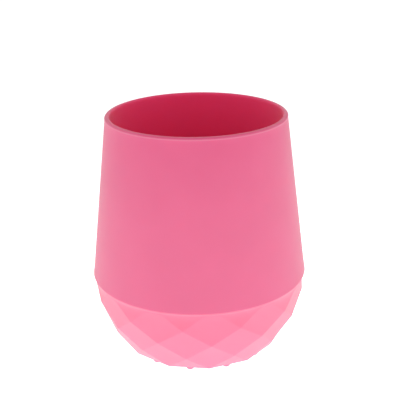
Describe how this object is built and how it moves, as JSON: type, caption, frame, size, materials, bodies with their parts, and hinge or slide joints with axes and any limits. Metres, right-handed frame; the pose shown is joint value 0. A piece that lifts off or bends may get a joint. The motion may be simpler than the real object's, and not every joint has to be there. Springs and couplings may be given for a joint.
{
  "type": "silicone cupping cup",
  "caption": "Soft pink silicone cup with a smooth tapered skirt, a faceted bowl base and small pips under it; the mouth presses down to make suction.",
  "frame": {"origin": "on the cup's axis, in the plane of the pips' tips, where the cup stands", "axes": "+Z along the cup's axis, out of the mouth; -Y is the front and +X the right"},
  "size_m": [0.0726, 0.0726, 0.0812],
  "materials": {
    "skirt_silicone": "satin",
    "base_silicone": "satin"
  },
  "bodies": {
    "base": {"faceted_base": "base_silicone", "base_pips": "base_silicone", "skirt": "skirt_silicone"},
    "mouth": {"mouth_rim": "skirt_silicone"}
  },
  "joints": [
    {"name": "mouth_press", "type": "slide", "parent": "base", "child": "mouth", "axis": [0, 0, -1], "range_m": [0, 0.015], "stiffness_N_per_m": 800, "deforming": ["skirt"]}
  ]
}
